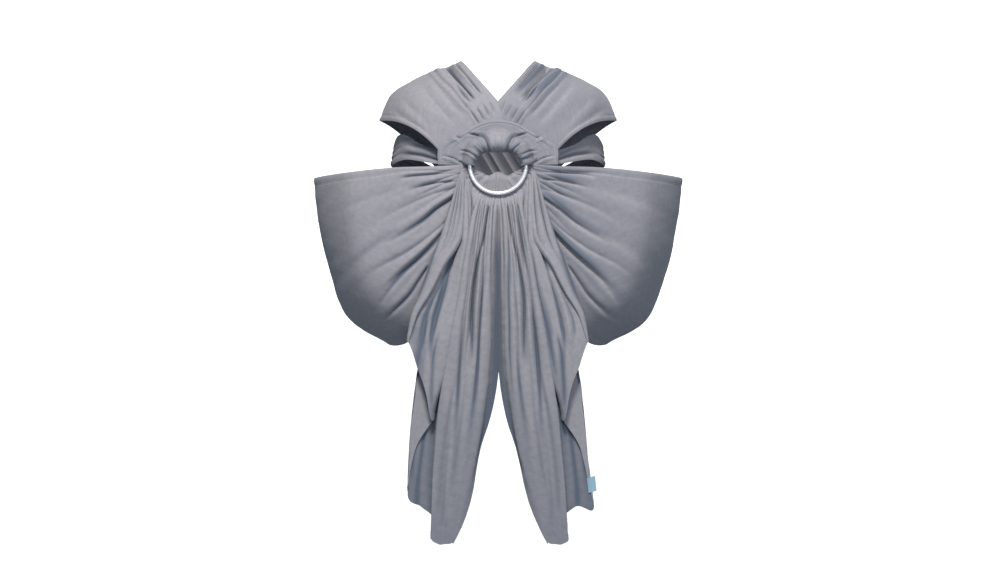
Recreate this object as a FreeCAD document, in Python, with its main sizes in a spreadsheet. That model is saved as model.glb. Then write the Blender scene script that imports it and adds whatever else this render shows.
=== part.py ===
"""Twin ring sling: a cloth harness worn over both shoulders that carries one baby pouch at each hip.

Frame: millimetres, +X to the wearer's left, +Y towards the wearer's back, +Z up.
The origin lies midway between the wearer's shoulders, where the harness hangs.

Two round rings sit at the chest. The cloth harness is sewn round their upper arc, and the cloth of each
pouch runs through their lower arc: up through both rings, back over the rear one and under the front one,
and then hangs as a tail.
"""

import FreeCAD
import Part
import Sketcher

import math
import os

Vector = FreeCAD.Vector

DIMENSIONS = {
    # the two rings
    "ring_major": 41.6,  # centre line radius, for a bore of about 77 mm
    "ring_minor": 2.9,  # radius of the round bar
    "ring_height": -140.0,
    "front_ring_depth": -127.0,
    "back_ring_depth": -113.0,
    # sewn sleeves round the rings' upper arc, measured from the ring axis and from the back ring's plane
    "sleeve_inside": 27.0,
    "centre_sleeve_inside": 19.0,
    "sleeve_outside": 49.0,
    "sleeve_front": -23.4,
    "sleeve_back": 6.0,
    "slot_inside": 36.4,
    "slot_outside": 46.6,
    "slot_front": -21.5,
    "slot_back": 4.2,
    "sleeve_arc": 50.0,  # degrees
    "centre_sleeve_arc": 18.0,
    "sleeve_place": 36.0,  # degrees from straight up to the middle of a side sleeve
    # threaded cloth wrapped over the back ring's lower arc
    "fold_inside": 20.0,
    "fold_outside": 46.0,
    "fold_front": -9.8,
    "fold_back": 6.5,
    "fold_bore": 3.7,
    "fold_arc": 70.0,
    "fold_place": 143.5,
    # the wearer's form that the harness is cut for
    "neck_half": 55.0,
    "neck_top": 20.0,
    "shoulder_half": 177.0,
    "cap_rim": -72.0,
    "chest_depth": 107.0,
    "inner_back_depth": 106.0,
    "outer_back_depth": 119.0,
    "yoke_top": -48.0,
    "yoke_side": 88.0,
    "yoke_side_height": -117.0,
    "cross_half": 38.0,
    "cross_top": -138.0,
    "cross_bottom": -202.0,
    # pouches
    "pouch_half": 273.0,
    "pouch_rim": -162.0,
    "pouch_bottom": -408.0,
    "pouch_seat": 160.0,  # distance from the middle to the inner rail under the baby's thighs
    # cloth in the solid model
    "cloth": 3.0,
    "hem": 5.0,
    # gathered cloth under the rings, then the two free tails: height, outer and inner side, front and back
    "gather_top": -189.0,
    "gather_end": -236.0,
    "gather_top_side": 60.0,
    "gather_side": 82.0,
    "gather_front": -141.0,
    "gather_top_front": -136.0,
    "gather_back": -122.0,
    "middle_gap": 1.5,
    "tail_front": -152.0,
    "tail_back": -128.0,
    "tail_1_height": -237.0,
    "tail_1_side": 82.0,
    "tail_2_height": -330.0,
    "tail_2_side": 117.0,
    "tail_3_height": -430.0,
    "tail_3_side": 130.0,
    "tail_3_inner": 3.0,
    "tail_4_height": -530.0,
    "tail_4_side": 133.0,
    "tail_4_inner": 19.0,
    "tail_5_height": -625.0,
    "tail_5_side": 136.0,
    "tail_5_inner": 36.0,
    "tail_6_height": -700.0,
    "tail_6_side": 98.0,
    "tail_6_inner": 50.0,
    # care label, left blank
    "label_width": 12.0,
    "label_height": 24.0,
    "label_thickness": 1.2,
    "label_top": -602.0,
    "label_clear": 0.4,
}

document = FreeCAD.newDocument("twin_ring_sling")
dims = document.addObject("Spreadsheet::Sheet", "dims")
for row, (alias, number) in enumerate(DIMENSIONS.items(), start=1):
    dims.set(f"A{row}", alias)
    dims.set(f"B{row}", str(number))
    dims.setAlias(f"B{row}", alias)
document.recompute()


def size(spec):
    """The value of a cell, negated where its name starts with a minus sign."""
    sign = -1.0 if spec.startswith("-") else 1.0
    return sign * float(dims.get(spec.lstrip("-")))


def formula(spec):
    """The same cell as an expression for setExpression."""
    return f"-dims.{spec[1:]}" if spec.startswith("-") else f"dims.{spec}"


# ---------------------------------------------------------------- pieces made from sketches


def new_body(name):
    body = document.addObject("PartDesign::Body", name)
    body.Label = name
    return body


def origin_plane(body, role):
    return next(plane for plane in body.Origin.OriginFeatures if plane.Role == role)


def new_sketch(body, name, role):
    sketch = body.newObject("Sketcher::SketchObject", name)
    sketch.AttachmentSupport = [(origin_plane(body, role), "")]
    sketch.MapMode = "FlatFace"
    return sketch


def bind(sketch, kind, arguments, spec, name):
    """Adds a named dimension to a sketch and ties it to a cell."""
    index = sketch.addConstraint(Sketcher.Constraint(kind, *arguments, size(spec)))
    sketch.renameConstraint(index, name)
    sketch.setExpression(f"Constraints.{name}", formula(spec))


def outline(sketch, corners, prefix="corner"):
    """A closed polygon whose corners are pairs of cell names."""
    points = [Vector(size(across), size(up), 0) for across, up in corners]
    count = len(points)
    first = sketch.GeometryCount
    for number, point in enumerate(points):
        sketch.addGeometry(Part.LineSegment(point, points[(number + 1) % count]), False)
    for number in range(count):
        following = first + (number + 1) % count
        sketch.addConstraint(Sketcher.Constraint("Coincident", first + number, 2, following, 1))
    for number, (across, up) in enumerate(corners):
        place = (-1, 1, first + number, 1)
        bind(sketch, "DistanceX", place, across, f"{prefix}{number}_across")
        bind(sketch, "DistanceY", place, up, f"{prefix}{number}_up")


def circle(sketch, across, up, radius, prefix="circle"):
    """A circle placed by two cells, with its radius from a third. None stands for a centre on the axis."""
    centre = Vector(size(across) if across else 0, size(up), 0)
    index = sketch.addGeometry(Part.Circle(centre, Vector(0, 0, 1), size(radius)), False)
    bind(sketch, "Radius", (index,), radius, f"{prefix}_radius")
    bind(sketch, "DistanceY", (-1, 1, index, 3), up, f"{prefix}_up")
    if across:
        bind(sketch, "DistanceX", (-1, 1, index, 3), across, f"{prefix}_across")
    else:
        sketch.addConstraint(Sketcher.Constraint("PointOnObject", index, 3, -2))


def revolve(body, sketch, arc=None):
    """Turns a section about the ring axis, all the way round or through an arc centred on the section."""
    turn = body.newObject("PartDesign::Revolution", f"{body.Name}_turn")
    turn.Profile = sketch
    turn.ReferenceAxis = (sketch, ["H_Axis"])
    if arc:
        turn.Midplane = True
        turn.setExpression("Angle", formula(arc))
    else:
        turn.Angle = 360.0
    return turn


def place_on_ring_axis(body, depth, degrees=0.0):
    """Puts a body on the ring axis at a depth, turned clockwise seen from the front."""
    turned = FreeCAD.Rotation(Vector(0, 1, 0), degrees)
    body.Placement = FreeCAD.Placement(Vector(0, size(depth), size("ring_height")), turned)
    body.setExpression("Placement.Base.y", formula(depth))
    body.setExpression("Placement.Base.z", formula("ring_height"))


def ring(name, depth):
    body = new_body(name)
    section = new_sketch(body, f"{name}_section", "YZ_Plane")
    circle(section, None, "ring_major", "ring_minor")
    revolve(body, section)
    place_on_ring_axis(body, depth)


def ring_sleeve(name, degrees, arc, inside="sleeve_inside"):
    """A tunnel of bunched cloth sewn round the upper arc of both rings."""
    body = new_body(name)
    section = new_sketch(body, f"{name}_section", "YZ_Plane")
    outside = [
        ("sleeve_front", inside),
        ("sleeve_back", inside),
        ("sleeve_back", "sleeve_outside"),
        ("sleeve_front", "sleeve_outside"),
    ]
    slot = [
        ("slot_front", "slot_inside"),
        ("slot_back", "slot_inside"),
        ("slot_back", "slot_outside"),
        ("slot_front", "slot_outside"),
    ]
    outline(section, outside, "outside")
    outline(section, slot, "slot")
    revolve(body, section, arc)
    place_on_ring_axis(body, "back_ring_depth", degrees)


def threaded_fold(name, degrees):
    """One pouch's cloth where it is wrapped over the lower arc of the back ring."""
    body = new_body(name)
    section = new_sketch(body, f"{name}_section", "YZ_Plane")
    block = [
        ("fold_front", "fold_inside"),
        ("fold_back", "fold_inside"),
        ("fold_back", "fold_outside"),
        ("fold_front", "fold_outside"),
    ]
    outline(section, block, "block")
    circle(section, None, "ring_major", "fold_bore", "bore")
    revolve(body, section, "fold_arc")
    place_on_ring_axis(body, "back_ring_depth", degrees)


def hanging_cloth(name, sections, side):
    """A closed loft through upright stations. A station is height, outer side, inner side, front and back."""
    body = new_body(name)
    sign = "-" if side < 0 else ""
    profiles = []
    for number, (height, outer, inner, front, back) in enumerate(sections):
        sketch = new_sketch(body, f"{name}_station{number}", "XY_Plane")
        sketch.AttachmentOffset = FreeCAD.Placement(Vector(0, 0, size(height)), FreeCAD.Rotation())
        sketch.setExpression("AttachmentOffset.Base.z", formula(height))
        outer, inner = sign + outer, sign + inner
        outline(sketch, [(outer, front), (inner, front), (inner, back), (outer, back)])
        profiles.append(sketch)
    loft = body.newObject("PartDesign::AdditiveLoft", f"{name}_loft")
    loft.Profile = profiles[0]
    loft.Sections = profiles[1:]
    loft.Ruled = True


def label(name):
    """A blank cloth label sewn into the edge of the tail on the +X side."""
    body = new_body(name)
    sketch = new_sketch(body, f"{name}_outline", "XZ_Plane")
    width, height = size("label_width"), size("label_height")
    corners = [Vector(0, 0, 0), Vector(width, 0, 0), Vector(width, height, 0), Vector(0, height, 0)]
    for number, corner in enumerate(corners):
        sketch.addGeometry(Part.LineSegment(corner, corners[(number + 1) % 4]), False)
    for number in range(4):
        sketch.addConstraint(Sketcher.Constraint("Coincident", number, 2, (number + 1) % 4, 1))
    for number in range(4):
        sketch.addConstraint(Sketcher.Constraint("Vertical" if number % 2 else "Horizontal", number))
    sketch.addConstraint(Sketcher.Constraint("Coincident", 0, 1, -1, 1))
    bind(sketch, "DistanceX", (0, 1, 0, 2), "label_width", "width")
    bind(sketch, "DistanceY", (1, 1, 1, 2), "label_height", "height")
    pad = body.newObject("PartDesign::Pad", f"{name}_pad")
    pad.Profile = sketch
    pad.Midplane = True
    pad.setExpression("Length", formula("label_thickness"))
    edge = size("tail_5_side") + size("label_clear")
    depth = (size("tail_front") + size("tail_back")) / 2
    body.Placement.Base = Vector(edge, depth, size("label_top") - height)


# ---------------------------------------------------------------- draped cloth


def through(points, where):
    """A smooth curve through evenly spaced points (Catmull-Rom), at a place from 0 to 1 along it."""
    spans = len(points) - 1
    span = min(int(where * spans), spans - 1)
    f = where * spans - span
    a = points[span - 1] if span else points[0] * 2 - points[1]
    b, c = points[span], points[span + 1]
    d = points[span + 2] if span + 2 <= spans else points[spans] * 2 - points[spans - 1]
    smooth = b * 2 + (c - a) * f + (a * 2 - b * 5 + c * 4 - d) * f**2 + (b * 3 - a - c * 3 + d) * f**3
    return smooth * 0.5


def mix(a, b, share):
    return a + (b - a) * share


def shoulder_ridge(across):
    """The top line of the shoulder from the neck (0) to the cap's rim (1), as x and z on the +X side."""
    neck = Vector(size("neck_half"), 0, size("neck_top"))
    tip = Vector(size("shoulder_half"), 0, size("cap_rim"))
    points = [neck, Vector(76, 0, 5), Vector(98, 0, 2), Vector(128, 0, -13), Vector(157, 0, -31), tip]
    return through(points, across)


BEND_IN = 1.4  # how slowly the cloth leaves the ridge sideways and down
BEND_OVER = 1.8  # how quickly it turns over the shoulder to the front or back


def shoulder_cloth(side, back_depth):
    """The cloth over one shoulder: across from the neckline (0) to the cap's rim (1), and along from the
    back cross (-1) over the ridge (0) to the chest yoke (1)."""

    def surface(across, along):
        top = shoulder_ridge(across)
        reach = abs(along)
        if along > 0:
            end_x = 3 + (size("yoke_side") - 3) * across
            fall = size("yoke_side_height") - size("yoke_top")
            end_z = size("yoke_top") + fall * across**0.8
            end_y, droop = -size("chest_depth"), 1 + 1.2 * across
        else:
            end_x = size("cross_half") * (2 * across - 1)
            end_z = mix(size("cross_top"), size("cross_bottom"), across)
            end_y, droop = back_depth, 1 + 0.3 * across
        x = mix(top.x, end_x, reach**BEND_IN)
        y = end_y * (1 - (1 - reach) ** BEND_OVER)
        z = mix(top.z, end_z, reach ** (BEND_IN * droop))
        return Vector(side * x, y, z)

    return surface


def yoke_cloth(across, down):
    """The stitched yoke: across from the -X end (-1) to the +X end (1), down from the shoulder seams (0) to
    the arc above the rings (1)."""
    reach = abs(across)
    fall = size("yoke_side_height") - size("yoke_top")
    top_x = size("yoke_side") * across
    top_z = size("yoke_top") + fall * reach**0.8
    angle = math.radians(90 - 82 * across)
    radius = size("sleeve_outside") + 1.5
    low_x = radius * math.cos(angle)
    low_z = size("ring_height") + radius * math.sin(angle)
    y = -size("chest_depth") - 3 * math.sin(math.pi * down)
    return Vector(mix(top_x, low_x, down), y, mix(top_z, low_z, down))


def underarm_cloth(side):
    """The band under one arm: along from the yoke (0) round the ribs to the back (1), and down (0 to 1)."""
    top = [Vector(0, 0, z) for z in (-121, -103, -93, -104, -116, -126, -146)]
    bottom = [Vector(0, 0, z) for z in (-141, -135, -131, -137, -142, -156, -178)]

    def surface(along, down):
        start = math.radians(mix(57, 70, down))
        angle = mix(start, math.radians(-58), along)
        depth = 110 if angle > 0 else 95
        x = -mix(156, 161, down) * math.cos(angle)
        z = mix(through(top, along).z, through(bottom, along).z, down)
        return Vector(-side * x, -depth * math.sin(angle), z)

    return surface


def column(across, depth, height):
    return [Vector(x, y, z) for x, y, z in zip(across, depth, height)]


def pouch_cloth(side, back):
    """The cloth of one pouch: along from the rings (0) round the outside to the back cross (1), and down from
    the outer rail (0) to the rail under the baby's thighs (1). back is how far behind the cross lies."""
    half, rim, bottom = size("pouch_half"), size("pouch_rim"), size("pouch_bottom")
    radius = size("ring_major") + 3
    ends = [math.radians(angle) for angle in (176, 190, 204, 218, 232)]
    ring_height = size("ring_height")
    rings = [Vector(radius * math.cos(a), -115, ring_height + radius * math.sin(a)) for a in ends]
    cross_half = size("cross_half")
    top, low = Vector(-cross_half, back, size("cross_top")), Vector(cross_half, back, size("cross_bottom"))
    cross = [mix(top, low, share / 4) for share in range(5)]
    side_wall = [
        Vector(-half, 0, rim),
        Vector(-half + 8, 0, rim - 66),
        Vector(-half + 23, 0, rim - 138),
        Vector(-half + 51, 0, bottom + 39),
        Vector(-size("pouch_seat"), 0, bottom),
    ]
    chest_side = column(
        across=(-95, -93, -87, -76, -60),
        depth=(-117, -118, -118, -118, -117),
        height=(-142, -170, -200, -232, -262),
    )
    front_inner = column(
        across=(-160, -163, -156, -136, -98),
        depth=(-118, -122, -123, -121, -114),
        height=(-144, -198, -255, -312, -362),
    )
    front_outer = column(
        across=(-228, -225, -214, -188, -134),
        depth=(-94, -103, -104, -96, -74),
        height=(-154, -215, -285, -350, -402),
    )
    back_outer = column(
        across=(-228, -225, -214, -188, -134),
        depth=(90, 98, 99, 90, 72),
        height=(-154, -213, -282, -345, -398),
    )
    back_inner = column(
        across=(-160, -161, -152, -130, -92),
        depth=[back - inset for inset in (8, 4, 4, 5, 8)],
        height=(-146, -192, -244, -296, -350),
    )
    back_side = column(
        across=(-95, -86, -70, -50, -24),
        depth=[back - inset for inset in (6, 4, 2, 2, 1)],
        height=(-142, -162, -188, -216, -248),
    )
    columns = [rings, chest_side, front_inner, front_outer, side_wall]
    columns += [back_outer, back_inner, back_side, cross]

    def surface(along, down):
        point = through([through(points, down) for points in columns], along)
        return Vector(-side * point.x, point.y, point.z)

    return surface


def cloth_solid(surface, across, along, thickness, rows=9, columns=17):
    """A closed solid of even thickness about a patch of a surface; across and along are its two ranges."""
    outer, inner = [], []
    step = 1e-3
    for i in range(rows):
        p = mix(across[0], across[1], i / (rows - 1))
        outer_row, inner_row = [], []
        for j in range(columns):
            q = mix(along[0], along[1], j / (columns - 1))
            before, after = max(p - step, across[0]), min(p + step, across[1])
            slope_p = surface(after, q) - surface(before, q)
            before, after = max(q - step, along[0]), min(q + step, along[1])
            slope_q = surface(p, after) - surface(p, before)
            normal = slope_p.cross(slope_q).normalize() * (thickness / 2)
            outer_row.append(surface(p, q) + normal)
            inner_row.append(surface(p, q) - normal)
        outer.append(outer_row)
        inner.append(inner_row)
    faces = []
    for grid in (outer, inner):
        sheet = Part.BSplineSurface()
        sheet.interpolate(grid)
        faces.append(sheet.toShape())
    pairs = zip(faces[0].Edges, faces[1].Edges)
    walls = [Part.makeRuledSurface(one, other) for one, other in pairs]
    shell = Part.Shell(faces + walls)
    shell.sewShape()
    solid = Part.Solid(shell)
    if solid.Volume < 0:
        solid.reverse()
    return solid


def cloth(name, surface, across, along, thickness, rows=9, columns=17):
    feature = document.addObject("Part::Feature", name)
    feature.Label = name
    feature.Shape = cloth_solid(surface, across, along, size(thickness), rows, columns)


SIDES = {"left": -1, "right": 1}  # as seen from the front

ring("front_ring", "front_ring_depth")
ring("back_ring", "back_ring_depth")
ring_sleeve("ring_sleeve_centre", 0.0, "centre_sleeve_arc", "centre_sleeve_inside")
cloth("chest_yoke", yoke_cloth, (-0.995, 0.995), (0.0, 1.0), "cloth", rows=25, columns=7)

for word, side in SIDES.items():
    ring_sleeve(f"ring_sleeve_{word}", side * size("sleeve_place"), "sleeve_arc")
    threaded_fold(f"threaded_fold_{word}", side * size("fold_place"))
    depth = size("inner_back_depth") if side < 0 else size("outer_back_depth")
    other_depth = size("outer_back_depth") if side < 0 else size("inner_back_depth")
    shoulder = shoulder_cloth(side, depth)
    cloth(f"neckline_hem_{word}", shoulder, (0.0, 0.035), (-0.32, 0.98), "hem", rows=3)
    cloth(f"neck_strap_{word}", shoulder, (0.04, 0.33), (-0.32, 0.98), "cloth", rows=5)
    cloth(f"shoulder_cap_{word}", shoulder, (0.34, 0.955), (-0.32, 0.98), "cloth")
    cloth(f"cap_rim_hem_{word}", shoulder, (0.96, 1.0), (-0.32, 0.98), "hem", rows=3)
    cloth(f"back_strap_{word}", shoulder, (0.0, 1.0), (-1.0, -0.335), "cloth")
    cloth(f"underarm_band_{word}", underarm_cloth(side), (0.01, 1.0), (0.0, 1.0), "cloth", rows=17, columns=7)
    pouch = pouch_cloth(side, other_depth)
    cloth(f"pouch_front_fan_{word}", pouch, (0.06, 0.30), (0.0, 1.0), "cloth", rows=13, columns=13)
    cloth(f"pouch_{word}", pouch, (0.302, 0.70), (0.035, 0.965), "cloth", rows=21, columns=13)
    cloth(f"pouch_outer_rail_{word}", pouch, (0.302, 0.70), (0.0, 0.03), "hem", rows=21, columns=3)
    cloth(f"pouch_thigh_rail_{word}", pouch, (0.302, 0.70), (0.97, 1.0), "hem", rows=21, columns=3)
    cloth(f"pouch_back_fan_{word}", pouch, (0.702, 0.95), (0.0, 1.0), "cloth", rows=13, columns=13)
    gather = [
        ("gather_top", "gather_top_side", "middle_gap", "gather_top_front", "gather_back"),
        ("gather_end", "gather_side", "middle_gap", "gather_front", "gather_back"),
    ]
    hanging_cloth(f"tail_gather_{word}", gather, side)
    tail = [
        ("tail_1_height", "tail_1_side", "middle_gap", "tail_front", "tail_back"),
        ("tail_2_height", "tail_2_side", "middle_gap", "tail_front", "tail_back"),
        ("tail_3_height", "tail_3_side", "tail_3_inner", "tail_front", "tail_back"),
        ("tail_4_height", "tail_4_side", "tail_4_inner", "tail_front", "tail_back"),
        ("tail_5_height", "tail_5_side", "tail_5_inner", "tail_front", "tail_back"),
        ("tail_6_height", "tail_6_side", "tail_6_inner", "tail_front", "tail_back"),
    ]
    hanging_cloth(f"tail_{word}", tail, side)

label("care_label")
document.recompute()

# ---------------------------------------------------------------- checks and output

for thing in document.Objects:
    if {"Invalid", "Error"} & set(thing.State):
        raise RuntimeError(f"{thing.Name} failed: {thing.State}")

pieces = [o for o in document.Objects if o.TypeId in ("PartDesign::Body", "Part::Feature")]
os.makedirs("parts", exist_ok=True)
for piece in pieces:
    shape = piece.Shape
    if shape.isNull() or not shape.isValid() or not shape.Solids:
        raise RuntimeError(f"{piece.Label} has no valid solid")
for piece in pieces:
    piece.Shape.exportStep(f"parts/{piece.Label}.step")
    print(f"{piece.Label}: {piece.Shape.Volume / 1000:.1f} cm3")
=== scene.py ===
"""Looks of the twin ring sling: every piece of cloth as a draped sheet with its folds, hems and
stitching, and the rings. Lengths are written in millimetres in the row frame (+X the wearer's left, +Y
back, +Z up) and turned into metres when a mesh is made. Most shapes are given for the wearer's left side
(+X) as positive x and mirrored."""

import math

import bpy
import numpy as np
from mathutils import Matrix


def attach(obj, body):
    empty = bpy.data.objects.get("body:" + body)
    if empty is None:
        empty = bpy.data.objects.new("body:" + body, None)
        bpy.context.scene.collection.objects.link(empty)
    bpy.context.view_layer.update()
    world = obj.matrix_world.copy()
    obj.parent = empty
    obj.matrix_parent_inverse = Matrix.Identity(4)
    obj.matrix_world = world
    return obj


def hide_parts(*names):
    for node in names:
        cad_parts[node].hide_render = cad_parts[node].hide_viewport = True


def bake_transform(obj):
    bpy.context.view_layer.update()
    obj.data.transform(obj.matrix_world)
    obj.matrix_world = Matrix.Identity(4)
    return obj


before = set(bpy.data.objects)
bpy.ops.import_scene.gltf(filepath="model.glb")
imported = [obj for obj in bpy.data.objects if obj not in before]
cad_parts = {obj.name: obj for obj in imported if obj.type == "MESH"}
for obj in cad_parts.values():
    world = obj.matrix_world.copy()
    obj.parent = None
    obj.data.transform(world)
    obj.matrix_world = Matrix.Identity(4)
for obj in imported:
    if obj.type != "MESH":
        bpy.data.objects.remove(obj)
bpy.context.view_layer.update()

MM = 0.001
SIDES = {"left": -1, "right": 1}
RING_Z = -140.0
RING_MAJOR, RING_MINOR = 41.6, 2.9  # radius of a ring's centre line, and of its bar
FRONT_RING_Y, BACK_RING_Y = -127.0, -113.0
SLEEVE_OUTSIDE = 53.0  # radius of the sewn cloth round the rings
CLOTH = 1.1  # thickness of the cloth, then what a hem of either kind adds to it
NARROW_HEM, WIDE_HEM = 1.0, 1.1

# ------------------------------------------------------------------ curves and grids


def spline(points, places):
    """Smooth curve through evenly spaced points (first axis), read at places from 0 to 1."""
    points = np.asarray(points, float)
    spans = len(points) - 1
    at = np.clip(np.asarray(places, float), 0, 1) * spans
    i = np.minimum(at.astype(int), spans - 1)
    f = (at - i).reshape((-1,) + (1,) * (points.ndim - 1))
    padded = np.concatenate([[2 * points[0] - points[1]], points, [2 * points[-1] - points[-2]]])
    a, b, c, d = padded[i], padded[i + 1], padded[i + 2], padded[i + 3]
    return 0.5 * (2 * b + (c - a) * f + (2 * a - 5 * b + 4 * c - d) * f**2 + (3 * b - a - 3 * c + d) * f**3)


def keyed(keys, at):
    """Smooth curve through (place, value, ...) keys with uneven spacing, without overshoot."""
    keys = np.asarray(keys, float)
    x, y = keys[:, 0], keys[:, 1:]
    at = np.asarray(at, float)
    h = np.diff(x)
    slope = np.diff(y, axis=0) / h[:, None]
    tangent = np.zeros_like(y)
    same = slope[1:] * slope[:-1] > 0
    both = np.abs(slope[1:]) + np.abs(slope[:-1]) + 1e-12
    tangent[1:-1] = np.where(same, 2 * slope[1:] * slope[:-1] / both * np.sign(slope[1:]), 0)
    tangent[0], tangent[-1] = slope[0], slope[-1]
    i = np.clip(np.searchsorted(x, at, side="right") - 1, 0, len(h) - 1)
    f = np.clip((at - x[i]) / h[i], 0, 1)[..., None]
    w = h[i][..., None]
    start = y[i] * (1 + 2 * f) * (1 - f) ** 2 + tangent[i] * w * f * (1 - f) ** 2
    end = y[i + 1] * f**2 * (3 - 2 * f) + tangent[i + 1] * w * f**2 * (f - 1)
    value = start + end
    return value[..., 0] if value.shape[-1] == 1 else value


def loft(columns, u, v):
    """Surface through evenly spaced columns of evenly spaced points, on a grid of u by v."""
    across = spline(np.swapaxes(np.asarray(columns, float), 0, 1), v)
    return spline(np.swapaxes(across, 0, 1), u)


def normals_of(grid):
    """Unit normals of a grid of points, pointing to the side that u x v gives."""
    du = np.gradient(grid, axis=0)
    dv = np.gradient(grid, axis=1)
    n = np.cross(du, dv)
    return n / np.maximum(np.linalg.norm(n, axis=2, keepdims=True), 1e-9)


def turned_normals(grid, spot, axis, way):
    """Normals of a grid, turned so that at spot (row, column) they point along the axis (way 1) or against
    it (way -1)."""
    n = normals_of(grid)
    return n * np.sign(n[spot][axis] * way)


def smoothed(values, passes=8):
    """Softens values along their second axis in place; the first and last stay."""
    for _ in range(passes):
        values[:, 1:-1] = 0.25 * values[:, :-2] + 0.5 * values[:, 1:-1] + 0.25 * values[:, 2:]


def lattice(rows, columns):
    """Places from 0 to 1 along the rows and the columns of a grid."""
    return np.meshgrid(np.linspace(0, 1, rows), np.linspace(0, 1, columns), indexing="ij")


def ramp(x, low, high):
    """0 at or below low, 1 at or above high, smooth between; low may be the greater."""
    t = np.clip((x - low) / (high - low), 0, 1)
    return t * t * (3 - 2 * t)


def wander(x, seed, scale):
    """Slow seeded noise along x: a few sines that never line up."""
    rng = np.random.default_rng(seed)
    total = np.zeros_like(x, dtype=float)
    for k in range(1, 5):
        total += np.sin(x / scale * k * rng.uniform(0.7, 1.3) + rng.uniform(0, 6.28)) / k
    return total / 2


# ------------------------------------------------------------------ folds


def along_line(x, z, line):
    """Signed distance to a line of (x, z) points, and the place along it, for every point of a grid."""
    line = spline(line, np.linspace(0, 1, 6 * len(line)))
    best = np.full(x.shape, 1e9)
    signed = np.zeros(x.shape)
    place = np.zeros(x.shape)
    for k in range(len(line) - 1):
        a, b = line[k], line[k + 1]
        d = b - a
        length = math.hypot(*d) + 1e-9
        t = np.clip(((x - a[0]) * d[0] + (z - a[1]) * d[1]) / length**2, 0, 1)
        gap_x, gap_z = x - a[0] - t * d[0], z - a[1] - t * d[1]
        gap = np.hypot(gap_x, gap_z)
        side = np.sign(d[0] * gap_z - d[1] * gap_x)
        nearer = gap < best
        best = np.where(nearer, gap, best)
        signed = np.where(nearer, gap * side, signed)
        place = np.where(nearer, (k + t) / (len(line) - 1), place)
    return signed, place


def crease(x, z, line, width, depth, lean=0.0, fade=(0.08, 0.35), rise=0.45):
    """Depth of one fold: a valley along the line with a rounded ridge on each side, rise times as high.
    width is in millimetres, or a pair for the line's start and end. lean from -1 to 1 raises the cloth on
    one side into an overlapping fold. fade gives the shares of the line over which its ends die out."""
    signed, place = along_line(x, z, line)
    start, stop = width if isinstance(width, tuple) else (width, width)
    w = start + (stop - start) * place
    t = signed / w
    valley = -np.exp(-((t / 0.55) ** 2))
    one_side, other_side = np.exp(-((t - 1.5) ** 2) / 0.9), np.exp(-((t + 1.5) ** 2) / 0.9)
    ridges = rise * (one_side * (1 + lean) + other_side * (1 - lean))
    ends = ramp(place, 0, fade[0]) if fade[0] else 1.0
    ends = ends * (ramp(place, 1.0, 1.0 - fade[1]) if fade[1] else 1.0)
    return depth * (valley + ridges) * ends


def mound(x, z, line, width, height, fade=(0.3, 0.3)):
    """A rounded ridge along a line."""
    signed, place = along_line(x, z, line)
    ends = ramp(place, 0, fade[0]) * ramp(place, 1.0, 1.0 - fade[1])
    return height * np.exp(-((signed / width) ** 2)) * ends


def pleats(a, count, seed, sharp=0.6):
    """Rounded ridges with narrow valleys across a from 0 to 1, of uneven width; from -1 to 1."""
    rng = np.random.default_rng(seed)
    edges = np.cumsum(rng.uniform(0.55, 1.45, count))
    edges = np.concatenate([[0], edges / edges[-1]])
    phase = np.interp(a, edges, np.arange(count + 1))
    return 2 * np.abs(np.sin(math.pi * phase)) ** sharp - 1


def rumples(x, z, seed, height=0.22):
    """Fine shallow wrinkles of worn linen."""
    one = wander(0.9 * x + 0.5 * z, seed, 6.5)
    return height * (one * wander(z - 0.35 * x, seed + 1, 8.0) + 0.5 * wander(0.4 * x - z, seed + 2, 4.5))


def groove(share, place, width=0.009, depth=0.55):
    """The dent a row of stitches pulls into the cloth."""
    return -depth * np.exp(-(((share - place) / width) ** 2))


# ------------------------------------------------------------------ meshes


def new_object(name, vertices, faces, smooth=True):
    """An object of the scene made from vertices in metres."""
    mesh = bpy.data.meshes.new(name)
    mesh.from_pydata([tuple(v) for v in vertices], [], faces)
    mesh.update()
    if smooth:
        mesh.polygons.foreach_set("use_smooth", [True] * len(mesh.polygons))
    made = bpy.data.objects.new(name, mesh)
    bpy.context.scene.collection.objects.link(made)
    return made


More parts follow.
